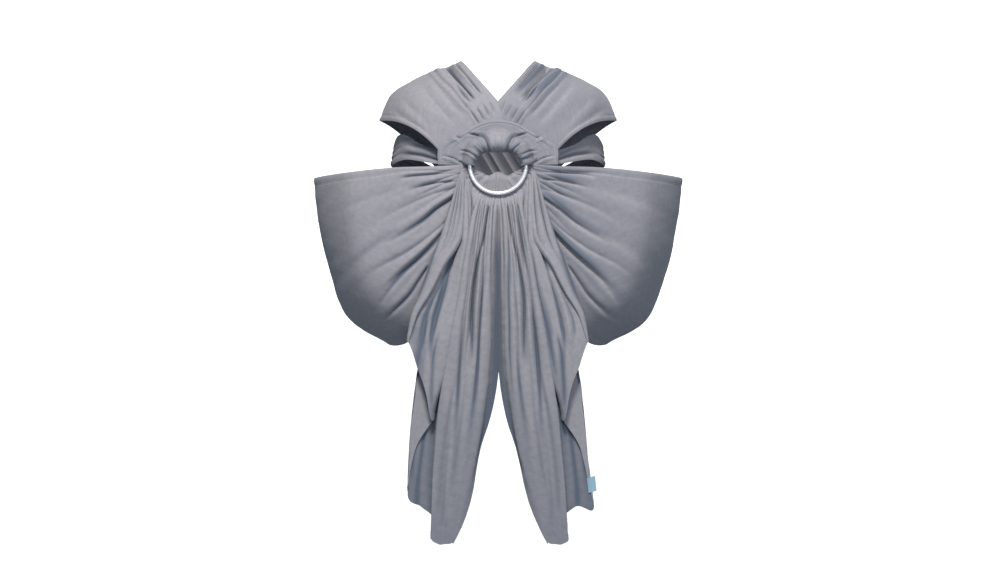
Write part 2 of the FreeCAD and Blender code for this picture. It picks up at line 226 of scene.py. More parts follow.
def cloth_object(name, grid, thickness=CLOTH, shading=None, material=None, folds=None):
    """A closed sheet about a grid of points, with its thickness, and UVs in metres along the cloth. shading
    gives its normals where the grid is cut from a longer cloth; folds, from -1 to 1, sets a painted shade
    that darkens the valleys and the other shaded places, and the back face."""
    rows, columns = grid.shape[:2]
    n = normals_of(grid) if shading is None else shading
    half = (thickness if np.ndim(thickness) else np.full(grid.shape[:2], float(thickness))) / 2
    front, back = grid + n * half[..., None], grid - n * half[..., None]
    vertices = np.concatenate([front.reshape(-1, 3), back.reshape(-1, 3)]) * MM
    index = np.arange(rows * columns).reshape(rows, columns)
    a, b, c, d = index[:-1, :-1], index[1:, :-1], index[1:, 1:], index[:-1, 1:]
    top = np.stack([a, b, c, d], axis=-1).reshape(-1, 4)
    under = np.stack([d, c, b, a], axis=-1).reshape(-1, 4) + rows * columns
    rim = np.concatenate([index[:, 0], index[-1, 1:], index[-2::-1, -1], index[0, -2:0:-1]])
    after = np.roll(rim, -1)
    wall = np.stack([rim, rim + rows * columns, after + rows * columns, after], axis=-1)
    faces = np.concatenate([top, under, wall])
    if (n * normals_of(grid)).sum() < 0:
        faces = faces[:, ::-1]
    made = new_object(name, vertices, faces.tolist())
    mesh = made.data
    step_u = np.linalg.norm(np.diff(grid, axis=0), axis=2)
    step_v = np.linalg.norm(np.diff(grid, axis=1), axis=2)
    u = np.concatenate([np.zeros((1, columns)), np.cumsum(step_u, axis=0)]) * MM
    v = np.concatenate([np.zeros((rows, 1)), np.cumsum(step_v, axis=1)], axis=1) * MM
    flat = np.stack([u, v], axis=-1).reshape(-1, 2)
    flat = np.concatenate([flat, flat])
    layer = mesh.uv_layers.new(name="cloth")
    loops = np.zeros(len(mesh.loops), int)
    mesh.loops.foreach_get("vertex_index", loops)
    layer.data.foreach_set("uv", flat[loops].astype(np.float32).ravel())
    # painted shade: how dark and blue each point of the front face is coloured, from the fold depths and the
    # shaded places
    painted_shade = np.zeros(grid.shape[:2]) if folds is None else np.clip(folds, -1, 1)
    # the back face gets painted shade too: a little darker all over, with darker places where the front has
    # ridges
    painted_shade = np.concatenate([painted_shade.ravel(), -0.5 * painted_shade.ravel() - 0.25])
    mesh.attributes.new("painted_fold_shade", "FLOAT", "POINT").data.foreach_set("value", painted_shade.astype(np.float32))
    soft = np.concatenate([n.reshape(-1, 3), -n.reshape(-1, 3)])
    custom = soft[loops]
    custom[-4 * len(wall):] = 0.0  # the strip round the edge keeps its own flat normals
    mesh.normals_split_custom_set(custom.tolist())
    mesh.materials.append(material or MATERIALS["cloth"])
    return made


def stitches(name, grid, paths, body, spacing=4.6, length=3.4, width=0.9, lift=1.0):
    """Rows of thread stitches on both faces of a grid; each path is a list of (u, v) places from 0 to 1."""
    rows, columns = grid.shape[:2]
    rounding, samples = 0.35, 400
    n = normals_of(grid)
    vertices, faces = [], []
    for path in paths:
        path = np.asarray(path, float)
        fine = spline(path, np.linspace(0, 1, samples))
        r = np.clip(fine[:, 0] * (rows - 1), 0, rows - 1.001)
        c = np.clip(fine[:, 1] * (columns - 1), 0, columns - 1.001)
        ri, ci = r.astype(int), c.astype(int)
        fr, fc = (r - ri)[:, None], (c - ci)[:, None]

        def read(field):
            low = field[ri, ci] * (1 - fr) + field[ri + 1, ci] * fr
            high = field[ri, ci + 1] * (1 - fr) + field[ri + 1, ci + 1] * fr
            return low * (1 - fc) + high * fc

        points, up = read(grid), read(n)
        run = np.concatenate([[0], np.cumsum(np.linalg.norm(np.diff(points, axis=0), axis=1))])

        def at(distance, field):
            return np.array([np.interp(distance, run, field[:, k]) for k in range(3)])

        for start in np.arange(1.0, run[-1] - length, spacing):
            ends = [at(start, points), at(start + length, points)]
            raised = at(start, up)
            raised /= np.linalg.norm(raised) + 1e-9
            for side in (1, -1):
                along = ends[1] - ends[0]
                out = np.cross(along, raised)
                out *= width / 2 / (np.linalg.norm(out) + 1e-9)
                base = len(vertices)
                top = raised * lift * side
                low = raised * (lift - rounding) * side
                mid = (ends[0] + ends[1]) / 2
                vertices += [ends[0] - out + low, ends[0] + out + low]
                vertices += [ends[1] + out + low, ends[1] - out + low]
                vertices += [mid - out * 0.6 + top, mid + out * 0.6 + top]
                quads = [(0, 1, 5, 4), (4, 5, 2, 3), (0, 4, 3), (1, 2, 5), (3, 2, 1, 0)]
                faces += [tuple(base + k for k in q) for q in quads]
    made = new_object(name, np.array(vertices) * MM, faces, smooth=False)
    made.data.materials.append(MATERIALS["thread"])
    if body:
        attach(made, body)
    return made


# ------------------------------------------------------------------ materials


def new_material(name, roughness):
    """A material and its shader."""
    material = bpy.data.materials.new(name)
    material.use_nodes = True
    shader = material.node_tree.nodes["Principled BSDF"]
    shader.inputs["Roughness"].default_value = roughness
    return material, shader


def cloth_material():
    """Plain-woven linen and cotton: slightly uneven threads both ways, faint mottling, soft sheen, and a
    painted shade: a bluer, darker colour in the valleys of the folds and the other places the mesh marks as
    shaded."""
    material, shader = new_material("sling_linen", 0.92)
    nodes, links = material.node_tree.nodes, material.node_tree.links
    place = nodes.new("ShaderNodeTexCoord")
    mottle = nodes.new("ShaderNodeTexNoise")
    mottle.inputs["Scale"].default_value = 140
    mottle.inputs["Detail"].default_value = 6
    links.new(place.outputs["UV"], mottle.inputs["Vector"])
    colours = nodes.new("ShaderNodeValToRGB")
    shades = ((0.3, (0.258, 0.254, 0.284, 1)), (0.7, (0.303, 0.297, 0.328, 1)))
    for element, (position, colour) in zip(colours.color_ramp.elements, shades):
        element.position = position
        element.color = colour
    links.new(mottle.outputs["Fac"], colours.inputs["Fac"])
    # painted shade: the stored fold shade mark sets how far the colour goes towards the dark valley colour
    depth = nodes.new("ShaderNodeAttribute")
    depth.attribute_name = "painted_fold_shade"
    painted_shade_share = nodes.new("ShaderNodeMapRange")
    painted_shade_share.inputs["From Min"].default_value = -0.12
    painted_shade_share.inputs["From Max"].default_value = -0.85
    links.new(depth.outputs["Fac"], painted_shade_share.inputs["Value"])
    painted_hollow_shade = nodes.new("ShaderNodeMix")
    painted_hollow_shade.data_type = "RGBA"
    factor, open_colour, painted_valley_shade = painted_hollow_shade.inputs[0], painted_hollow_shade.inputs[6], painted_hollow_shade.inputs[7]
    # the painted shade colour of fold valleys and shaded places
    painted_valley_shade.default_value = (0.105, 0.128, 0.170, 1)
    links.new(painted_shade_share.outputs["Result"], factor)
    links.new(colours.outputs["Color"], open_colour)
    links.new(painted_hollow_shade.outputs[2], shader.inputs["Base Color"])
    bumps = []
    fine, coarse = 1400, 90  # unevenness per metre across a thread and along it
    for axis, squeeze in (("warp", (fine, coarse, 1)), ("weft", (coarse, fine, 1))):
        mapping = nodes.new("ShaderNodeMapping")
        mapping.inputs["Scale"].default_value = squeeze
        links.new(place.outputs["UV"], mapping.inputs["Vector"])
        thread = nodes.new("ShaderNodeTexNoise")
        thread.name = axis
        thread.inputs["Scale"].default_value = 1.0
        thread.inputs["Detail"].default_value = 2
        links.new(mapping.outputs["Vector"], thread.inputs["Vector"])
        bump = nodes.new("ShaderNodeBump")
        bump.inputs["Strength"].default_value = 0.35
        bump.inputs["Distance"].default_value = 0.0004
        links.new(thread.outputs["Fac"], bump.inputs["Height"])
        bumps.append(bump)
    links.new(bumps[0].outputs["Normal"], bumps[1].inputs["Normal"])
    links.new(bumps[1].outputs["Normal"], shader.inputs["Normal"])
    shader.inputs["Specular IOR Level"].default_value = 0.15
    shader.inputs["Sheen Weight"].default_value = 0.12
    shader.inputs["Sheen Roughness"].default_value = 0.5
    return material


def plain_material(name, colour, roughness, metallic=0.0):
    """A material of one colour."""
    material, shader = new_material(name, roughness)
    shader.inputs["Base Color"].default_value = (*colour, 1)
    shader.inputs["Metallic"].default_value = metallic
    return material


MATERIALS = {
    "cloth": cloth_material(),
    "thread": plain_material("thread", (0.365, 0.355, 0.385), 0.85),
    "metal": plain_material("ring_metal", (0.90, 0.90, 0.91), 0.25, 0.45),
    "label": plain_material("label_cloth", (0.30, 0.47, 0.58), 0.8),
    "wall": plain_material("wall_paint", (0.93, 0.93, 0.935), 0.9),
}

# ------------------------------------------------------------------ harness over the shoulders


def shoulder_base(side, across, along, back_depth):
    """Cloth over one shoulder, before its folds: across from the neckline to the cap's rim, along from the
    back cross (-1) over the shoulder's ridge (0) to the chest (1)."""
    ridge = [(55, 20), (77, 10), (99, 4), (131, -11), (161, -31), (179, -70)]
    top = spline(ridge, across.ravel()).reshape(across.shape + (2,))
    reach = np.abs(along)
    front = along > 0
    chest = [(-26, -75), (8, -79), (38, -90), (64, -104), (88, -117)]
    arch = spline(chest, across.ravel()).reshape(across.shape + (2,))
    end_x = np.where(front, arch[..., 0], 38 * (2 * across - 1))
    end_z = np.where(front, arch[..., 1], -138 - 64 * across)
    end_y = np.where(front, -106.5 if side < 0 else -104.5, back_depth)
    droop = np.where(front, 1 + 1.2 * across, 1 + 0.3 * across)
    share = reach**1.4
    x = top[..., 0] * (1 - share) + end_x * share
    x = np.where(front & (x < 0), 0.35 * x, x)
    y = end_y * (1 - (1 - reach) ** 1.8)
    share = reach ** (1.4 * droop)
    z = top[..., 1] * (1 - share) + end_z * share
    return np.stack([side * x, y, z], axis=-1)


def shoulder(word, side):
    """The strap, cap and back strap of one shoulder as one cloth, with its hems and stitching."""
    u, v = lattice(150, 260)
    along = -1 + 2 * v
    back_depth = 106.0 if side < 0 else 119.0
    grid = shoulder_base(side, u, along, back_depth)
    n = normals_of(grid) * -side
    x, z = np.abs(grid[..., 0]), grid[..., 2]
    front = ramp(along, 0.0, 0.2)
    d = np.zeros_like(x)
    folds = [
        # the line, then width, depth, lean and fade, as crease takes them; so in every such list below
        ([(77, 10), (67, -3), (56, -17), (44, -31), (31, -45)], (6.0, 3.0), 8.5, 0.6, (0.0, 0.3)),
        ([(64, 14), (55, 3), (45, -9), (34, -22), (20, -38)], (3.6, 2.2), 6.0, 0.5, (0.0, 0.3)),
        ([(88, 8), (76, -6), (64, -20), (50, -38), (38, -50)], (5.0, 3.0), 3.4, 0.3, (0.0, 0.4)),
        ([(80, 10), (70, -2), (58, -16), (46, -30)], (11.0, 7.0), 3.0, 0.0, (0.0, 0.4)),
        ([(97, 4), (84, -12), (69, -26), (52, -46), (38, -62)], (4.0, 3.0), 2.4, 0.8, (0.0, 0.2)),
        ([(106, 2), (92, -18), (77, -36), (60, -56), (46, -70)], 5.0, 1.2, 0.0, (0.3, 0.3)),
        ([(120, -8), (106, -28), (90, -48), (72, -68), (58, -82)], 8.0, 1.0, 0.2, (0.35, 0.3)),
        ([(146, -30), (130, -52), (108, -74), (90, -90)], 10.0, 1.1, 0.2, (0.35, 0.3)),
        ([(164, -50), (142, -66), (118, -82), (94, -98)], 8.0, 1.4, -0.3, (0.35, 0.3)),
    ]
    for line, width, depth, lean, fade in folds:
        shift = 0.0 if side < 0 else 2.0 * math.sin(2.3 * depth)  # so that the two sides differ
        d += front * crease(x, z, [(px, pz + shift) for px, pz in line], width, depth, lean, fade)
    for k in range(4):
        line = [(14 + 10 * k, -42 - 4 * k), (9 + 8 * k, -53 - 6 * k), (6 + 7 * k, -64 - 6 * k)]
        d += front * crease(x, z, line, 2.4, 1.5 + 0.3 * k, 0.0, (0.3, 0.4))
    back = ramp(along, 0.05, -0.2)
    lanes = pleats(u + 0.03 * wander(along * 100, 11 + side, 60), 7, 21 + side, 0.8)
    d += back * lanes * (0.8 + 2.6 * ramp(np.abs(along), 0.35, 1.0))
    # painted shade: the valleys of the strap's folds are coloured darker and bluer
    painted_shade = d / 3.2
    d += 0.5 * wander(x + z * 0.4, 5 + side, 22) * ramp(u, 0.3, 0.5) + rumples(x, z, 40 + side)
    d += groove(u, 0.9615) + groove(u, 0.036)
    hem = ramp(u, 0.975, 0.985) + ramp(u, 0.03, 0.02)
    neck_roll = ramp(u, 0.02, 0.0) * 1.2 + ramp(u, 0.985, 1.0) * 1.2
    grid = grid + n * (d - neck_roll)[..., None]
    thickness = CLOTH + WIDE_HEM * np.clip(hem, 0, 1)
    made = cloth_object(f"shoulder_cloth_{word}", grid, thickness, folds=painted_shade)
    words = ("neckline_hem", "neck_strap", "shoulder_cap", "cap_rim_hem", "back_strap")
    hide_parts(*[f"{w}_{word}" for w in words])
    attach(made, "harness")
    lines = [[(share, s) for s in np.linspace(0.02, 0.98, 9)] for share in (0.968, 0.955, 0.036)]
    seam = [[(0.40 - 0.10 * t + gap, 0.5 + 0.42 * t) for t in np.linspace(0, 1, 6)] for gap in (0, 0.022)]
    sewn = stitches(f"shoulder_stitching_{word}", grid, lines + seam, "harness")
    return made, [sewn]


def yoke():
    """The stitched yoke on the chest, whose lower edge is gathered and sewn round the rings' upper arc."""
    rows, columns = 300, 130
    u, v = lattice(rows, columns)
    turned = np.radians(89) * (2 * u - 1)
    angle = math.pi / 2 - turned
    from_top = np.degrees(np.abs(turned))
    inner = keyed([(0, 20.0), (20, 21.0), (35, 25.0), (60, 30.0), (86, 33.0)], from_top)
    inner = inner + 1.1 * pleats(u, 13, 4, 0.8)
    # share of the way from the bore (0) to the sleeve's outside (1), and depth, round the front of the rings
    profile = [(1, -108.6), (0.96, -116), (0.84, -126), (0.62, -133.5), (0.38, -136.5)]
    profile += [(0.17, -133.5), (0.04, -125), (0, -113), (0.06, -104)]
    split = 0.42  # share of the cloth that lies flat on the chest
    turn = np.clip((v - split) / (1 - split), 0, 1)
    section = spline(profile, turn.ravel()).reshape(turn.shape + (2,))
    radius = inner + section[..., 0] * (SLEEVE_OUTSIDE - inner)
    ring = np.stack([radius * np.cos(angle), section[..., 1], RING_Z + radius * np.sin(angle)], axis=-1)
    edge = keyed([(0, 67.0), (40, 69.0), (60, 80.0), (74, 92.0), (86, 89.0)], from_top)
    share = np.clip(v / split, 0, 1)
    out = edge * (1 - share) + SLEEVE_OUTSIDE * share
    flat = np.stack([out * np.cos(angle), np.full_like(out, -108.0), RING_Z + out * np.sin(angle)], axis=-1)
    grid = np.where((v < split)[..., None], flat, ring)
    smoothed(grid)
    n = turned_normals(grid, (rows // 2, 10), 1, -1)
    x, z = grid[..., 0], grid[..., 2]
    facing = ramp(v, 0.95, 0.75)
    d = 1.2 * pleats(u, 13, 4, 0.8) * ramp(v, 0.5, 0.8)
    for s in (-1, 1):
        shift = 0.0 if s < 0 else 1.5
        folds = [
            (
                [(46, -93 + shift), (33, -95), (22, -99), (16, -110), (13, -119)],
                (2.0, 2.6), 3.4, -0.6, (0.2, 0),
            ),
            ([(34, -108), (26, -114), (18, -122)], 2.0, 2.6, 0.3, (0.3, 0.0)),
            ([(60, -118), (48, -119), (38, -124), (30, -131)], 2.4, 2.4, 0.3, (0.3, 0.0)),
            ([(88, -124), (66, -130), (50, -139), (42, -144)], 2.6, 2.0, 0.5, (0.3, 0.0)),
            ([(76, -92 + shift), (64, -97), (54, -101)], 3.5, 2.0, 0.0, (0.3, 0.3)),
        ]
        this_side = ramp(x * s, -4, 4) * facing
        for fold in folds:
            d += this_side * crease(x * s, z, *fold)
    # painted shade: fold valleys darker, and a strip down the middle above the rings darker as shade of the
    # recess there
    painted_shade = d / 3.0 - 0.42 * np.exp(-((x / 13) ** 4)) * ramp(z, -80, -90) * facing
    for s in (-1, 1):
        rounded = mound(x * s, z, [(50, -104), (40, -110), (33, -122), (33, -134)], 11.0, 2.2, (0.3, 0.2))
        d += ramp(x * s, -4, 4) * facing * rounded
    edge_turn = ramp(v, 0.04, 0.0)
    grid = grid + n * (d + rumples(x, z, 44, 0.3) + groove(v, 0.11, 0.012) - 0.9 * edge_turn)[..., None]
    made = cloth_object("yoke_cloth", grid, CLOTH, folds=painted_shade)
    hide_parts("chest_yoke", "ring_sleeve_left", "ring_sleeve_centre", "ring_sleeve_right")
    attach(made, "harness")
    arch, boxes = [], []
    for row in (0.05, 0.17):
        arch.append([(t, row) for t in np.linspace(0.01, 0.99, 15)])
    for s in (-1, 1):
        for place in (0.33, 0.35, 0.46, 0.48):
            boxes.append([(0.5 + s * place, t) for t in np.linspace(0.05, 0.40, 4)])
    return made, [stitches("yoke_stitching", grid, arch + boxes, "harness")]


def underarm(word, side):
    """The band of one side under the arm, from behind the yoke round the ribs to the back."""
    rows, columns = 170, 60
    u, v = lattice(rows, columns)
    angle = np.radians(66 + 12 * v) * (1 - u) + np.radians(-58) * u
    depth = np.where(angle > 0, 109.0 + 4.0 * ramp(u, 0.18, 0.0), 95.0)
    top = spline([-123, -110, -92, -104, -116, -126, -146], u[:, 0])[:, None]
    low = spline([-142, -137, -130, -137, -142, -156, -178], u[:, 0])[:, None]
    x = (156 + 5 * v) * np.cos(angle)
    z = top * (1 - v) + low * v
    grid = np.stack([side * x, -depth * np.sin(angle), z], axis=-1)
    n = turned_normals(grid, (rows // 2, columns // 2), 0, side)
    ax = np.abs(grid[..., 0])
    front = ramp(u, 0.5, 0.4)
    folds = [
        ([(44, -139), (80, -127), (112, -112), (146, -107)], (3, 9), 3.6, 0.4, (0.0, 0.25)),
        ([(44, -140), (84, -133), (118, -124), (150, -121)], (3, 6), 2.6, 0.3, (0.0, 0.25)),
        ([(60, -130), (92, -115), (124, -101), (150, -99)], (3, 8), 2.6, -0.3, (0.0, 0.3)),
    ]
    d = sum(front * crease(ax, z, *fold) for fold in folds)
    d += 1.3 * pleats(v + 0.05 * wander(u * 100, 3, 40), 4, 9, 0.8) * ramp(u, 0.3, 0.6)
    # painted shade: fold valleys darker, and the front part darker all over as painted shadow under the
    # shoulder cap
    painted_shade = d / 3.5 - 0.22 * front
    d += 0.7 * wander(u * 200 + v * 30, 8 + side, 25) + rumples(ax, z, 46 + side)
    hem = ramp(v, 0.94, 0.97) + ramp(v, 0.06, 0.03)
    grid = grid + n * d[..., None]
    thickness = CLOTH + NARROW_HEM * np.clip(hem, 0, 1)
    made = cloth_object(f"underarm_cloth_{word}", grid, thickness, folds=painted_shade)
    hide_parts(f"underarm_band_{word}")
    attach(made, "harness")
    return made


# ------------------------------------------------------------------ pouches


def column(across, depth, height):
    """Five points down the pouch's cloth; depth may be one value for all five."""
    depth = depth if np.ndim(depth) else [depth] * 5
    return list(zip(across, depth, height))


def pouch_columns(back):
    """Lines down the pouch's cloth from its outer rail to the rail under the baby's thighs, from the rings
    round the outside to the back cross."""
    ends = np.radians([177, 191, 205, 219, 233])
    rings = column(39 * np.cos(ends), -114, RING_Z + 39 * np.sin(ends))
    cross = column(np.linspace(-38, 38, 5), back, np.linspace(-138, -202, 5))
    outer_back, inner_back = back - np.array([8, 4, 4, 5, 8]), back - np.array([6, 4, 2, 2, 1])
    return [
        rings,
        column((-95, -93, -87, -76, -60), (-117, -118, -118, -118, -117), (-142, -170, -200, -232, -262)),
        column((-160, -163, -156, -136, -98), (-118, -122, -123, -121, -114), (-144, -198, -255, -312, -362)),
        column((-230, -227, -215, -188, -134), (-94, -103, -104, -96, -74), (-151, -214, -285, -350, -402)),
        column((-277, -269, -252, -223, -160), 0, (-157, -226, -300, -369, -408)),
        column((-228, -225, -214, -188, -134), (90, 98, 99, 90, 72), (-154, -213, -282, -345, -398)),
        column((-160, -161, -152, -130, -92), outer_back, (-146, -192, -244, -296, -350)),
        column((-95, -86, -70, -50, -24), inner_back, (-142, -162, -188, -216, -248)),
        cross,
    ]


def pouch(word, side):
    """The cloth of one pouch, from the rings round the outside to the back cross, with hems and stitching."""
    back = 119.0 if side < 0 else 106.0
    rows, columns = 300, 130
    u, v = lattice(rows, columns)
    grid = loft(pouch_columns(back), np.linspace(0.0, 0.998, rows), np.linspace(0, 1, columns))
    grid[..., 0] *= -side
    n = turned_normals(grid, (rows // 2, columns // 2), 0, side)
    x, z = np.abs(grid[..., 0]), grid[..., 2]
    front = ramp(u, 0.5, 0.4)
    near = ramp(u, 0.26, 0.02)
    d = front * near**1.5 * 2.6 * pleats(v, 9, 31 + side, 0.7)
    folds = [
        ([(47, -151), (90, -153), (129, -156), (150, -161)], (2.2, 5), 3.0, 0.3, (0.0, 0.35)),
        ([(47, -163), (80, -165), (106, -169), (140, -178)], (2.2, 5), 3.4, 0.4, (0.0, 0.4)),
        (
            [(52, -178), (70, -190), (92, -205), (113, -223), (150, -246), (175, -262)],
            (3.0, 8), 6.0, 0.7, (0.0, 0.6),
        ),
        ([(50, -196), (83, -240), (117, -276), (153, -307), (188, -342)], (3.4, 7), 4.6, 0.5, (0.0, 0.5)),
        ([(52, -150), (100, -148), (150, -149), (190, -155)], (2.2, 5), 1.3, 0.0, (0.0, 0.6)),
        ([(60, -172), (105, -186), (150, -206), (200, -236)], (3.4, 9), 1.7, 0.0, (0.0, 0.6)),
        ([(60, -205), (95, -240), (135, -268), (185, -296), (215, -330)], (3.4, 8), 2.4, -0.3, (0.0, 0.6)),
        ([(100, -285), (118, -312), (133, -334), (158, -358), (182, -378)], (3.4, 6), 4.0, 0.3, (0.1, 0.45)),
        ([(92, -296), (104, -326), (116, -352), (134, -378)], (3.2, 5), 3.2, 0.2, (0.1, 0.4)),
        ([(70, -232), (104, -268), (140, -300), (170, -336), (186, -366)], (3.4, 7), 2.8, 0.4, (0.0, 0.5)),
        ([(120, -168), (170, -180), (225, -200), (255, -230)], (8, 18), 0.9, 0.0, (0.3, 0.5)),
        ([(140, -232), (190, -262), (232, -300)], (9, 16), 1.2, 0.0, (0.3, 0.4)),
    ]
    for line, width, depth, lean, fade in folds:
        shift = 0 if side < 0 else 3.0 * math.sin(len(line) + depth)
        line = [(px, pz + shift) for px, pz in line]
        d += front * ramp(v, 1.02, 0.82) * crease(x, z, line, width, depth, lean, fade, 0.3)
    # painted shade: the valleys of the pouch's folds are coloured darker and bluer
    painted_shade = d / 3.2
    rear = ramp(u, 0.5, 0.6)
    d += rear * 3.2 * pleats(v + 0.03 * wander(u * 200, 7, 30), 8, 51 + side, 0.8) * ramp(u, 0.58, 0.92)
    d += rear * 1.4 * wander(z + x * 0.6, 17 + side, 20)
    d += 0.9 * wander(x * 0.8 + z, 27 + side, 24) * ramp(u, 0.1, 0.3) + rumples(x, z, 48 + side)
    d += groove(v, 0.042) + groove(v, 0.966)
    hem = ramp(v, 0.045, 0.035) + ramp(v, 0.955, 0.965)
    tuck = ramp(u, 0.04, 0.12)
    roll = (ramp(v, 0.012, 0.0) + ramp(v, 0.988, 1.0)) * 1.4
    grid = grid + n * (d * tuck - roll)[..., None]
    thickness = CLOTH + WIDE_HEM * np.clip(hem, 0, 1) * tuck
    made = cloth_object(f"pouch_cloth_{word}", grid, thickness, folds=painted_shade)
    parts = ("pouch", "pouch_front_fan", "pouch_back_fan", "pouch_outer_rail", "pouch_thigh_rail")
    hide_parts(*[f"{p}_{word}" for p in parts])
    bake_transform(made)
    # where each row of stitches starts, and its place across the cloth
    rows_sewn = ((0.12, 0.032), (0.12, 0.052), (0.2, 0.966))
    lines = [[(t, place) for t in np.linspace(start, 0.93, 12)] for start, place in rows_sewn]
    sewn = stitches(f"pouch_stitching_{word}", grid, lines, None)
    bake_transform(sewn)
    return made, [sewn]


# ------------------------------------------------------------------ tails


STATIONS = (-200, -245, -289, -327, -364, -400, -446, -512, -560, -601, -700)


def held(*values):
    """Values at the stations from the top down; the last one holds for the stations below it."""
    return values + (values[-1],) * (len(STATIONS) - len(values))


FRONT_LAYER = (-137, -146, -151, -153, -155, -156, -156, -155, -154, -153, -151)
TAIL_LANES = [
    # place across the cloth, height of its end, then distance from the middle and depth at each station;
    # first the folded rail strip
    (0.00, -396, held(72, 86, 103, 117, 129, 132, 134), held(-131, -137, -142, -145, -146)),
    (0.04, -399, held(62, 72, 92, 109, 126, 131.5, 134), held(-133, -141, -147, -150, -151, -150)),
    (0.075, -402, held(52, 57, 82, 101, 122.5, 131, 133), held(-134, -143, -150, -152, -152, -151)),
    # the wing in front
    (0.085, -403, held(53, 60, 85, 104, 124, 131, 133), held(-131, -136, -141, -143, -146, -150)),
    (0.13, -440, held(49, 53, 70, 84, 98, 110, 119, 120), held(-133, -139, -143, -147, -150, -154)),
    (0.19, -512, held(46, 47, 53, 59, 66, 74, 83, 100, 102), FRONT_LAYER),
    (0.25, -516, held(43, 45, 50, 56, 62, 70, 80, 95, 97), held(-133, -138, -140, -141, -142, -143)),
    # the layer behind it
    (0.33, -560, held(40, 46, 60, 72, 86, 98, 112, 120, 122), held(-131, -134, -135, -135, -136, -136, -138)),
    (0.40, -628, held(38, 48, 68, 84, 100, 111, 119, 127, 131, 133),
     held(-130, -131, -131, -132, -132, -133, -137)),
    (0.48, -645, held(36, 45, 58, 72, 84, 94, 102, 108, 112, 113),
     held(-130, -130, -130, -130, -131, -131, -134)),
    (0.56, -664, held(33, 38, 45, 52, 60, 68, 76, 85, 88, 90, 94),
     held(-131, -135, -137, -138, -138, -138, -140)),
    # the long tip
    (0.62, -690, held(32, 41, 49, 55, 62, 70, 78, 89, 93, 96, 99), FRONT_LAYER),
    (0.70, -699, held(25, 31, 36, 41, 46, 51, 58, 70, 76, 81, 88), FRONT_LAYER),
    (0.78, -699, held(19, 24, 28, 31, 34, 38, 42, 54, 62, 68, 78), FRONT_LAYER),
    (0.86, -697, held(13, 17, 19, 21, 22, 24, 27, 36, 46, 54, 68), FRONT_LAYER),
    # the recess in the middle
    (0.92, -684, held(8, 12, 13, 14, 14, 14, 16, 23, 31, 40, 62), held(-136, -144, -148, -150, -151, -152)),
    (0.955, -560, held(5, 8, 9, 9, 10, 10, 11, 18, 27, 30), held(-133, -137, -139, -141, -142)),
    (1.00, -440, held(-0.4), held(-130, -131, -132, -133, -134)),
]
GATHER_TOP, GATHER_END = -196.0, -237.0
HEAD_COLUMNS = 46  # columns of the tail's grid that wrap the rings


def lane_rows(rows):
    """Places across the tail's cloth for its rows, closest where its folds are sharpest."""
    row_shares = [0, 0.16, 0.24, 0.32, 0.39, 1]
    places = [0, 0.075, 0.105, 0.19, 0.26, 1]
    return np.interp(np.linspace(0, 1, rows), row_shares, places)


def wrap(side, a):
    """Stations of the threaded cloth over the back ring and under the front ring, for places a across it."""
    theta = np.radians(np.interp(a, [0, 0.1, 1], [186, 194, 270]))
    ring_x, ring_z = np.abs(np.cos(theta)), np.sin(theta)
    bundle = 1.0 * pleats(a, 9, 60 + side, 0.8)

    def on_ring(radius, y, puff=0.0):
        r = radius + puff * bundle
        return np.stack([ring_x * r, np.full_like(a, y), RING_Z + ring_z * r], axis=-1)

    rim_x = np.interp(a, [0, 0.5, 1], [32.0, 15.0, -0.3])
    scallops = [(-1, -150.4), (3, -150.6), (8, -153.5), (13.6, -156.0), (18, -154.0)]
    scallops += [(25, -150.5), (32.6, -146.5)]
    rim = np.stack([rim_x, np.full_like(a, BACK_RING_Y), keyed(scallops, rim_x)], axis=-1)
    return np.stack([
        on_ring(47, -106.5),
        on_ring(42, -106.2),
        0.55 * rim + 0.45 * on_ring(42, BACK_RING_Y) + np.array([0, 4.5, 0]),
        rim,
        0.65 * rim + 0.35 * on_ring(38, BACK_RING_Y) + np.array([0, -8.0, -1.0]),
        on_ring(36.5, -120.4, 0.4),
        on_ring(41.6, -120.8, 0.3),
        on_ring(46.8, -121.4, 0.5),
        on_ring(51, -125.6, 0.8),
    ], axis=1)


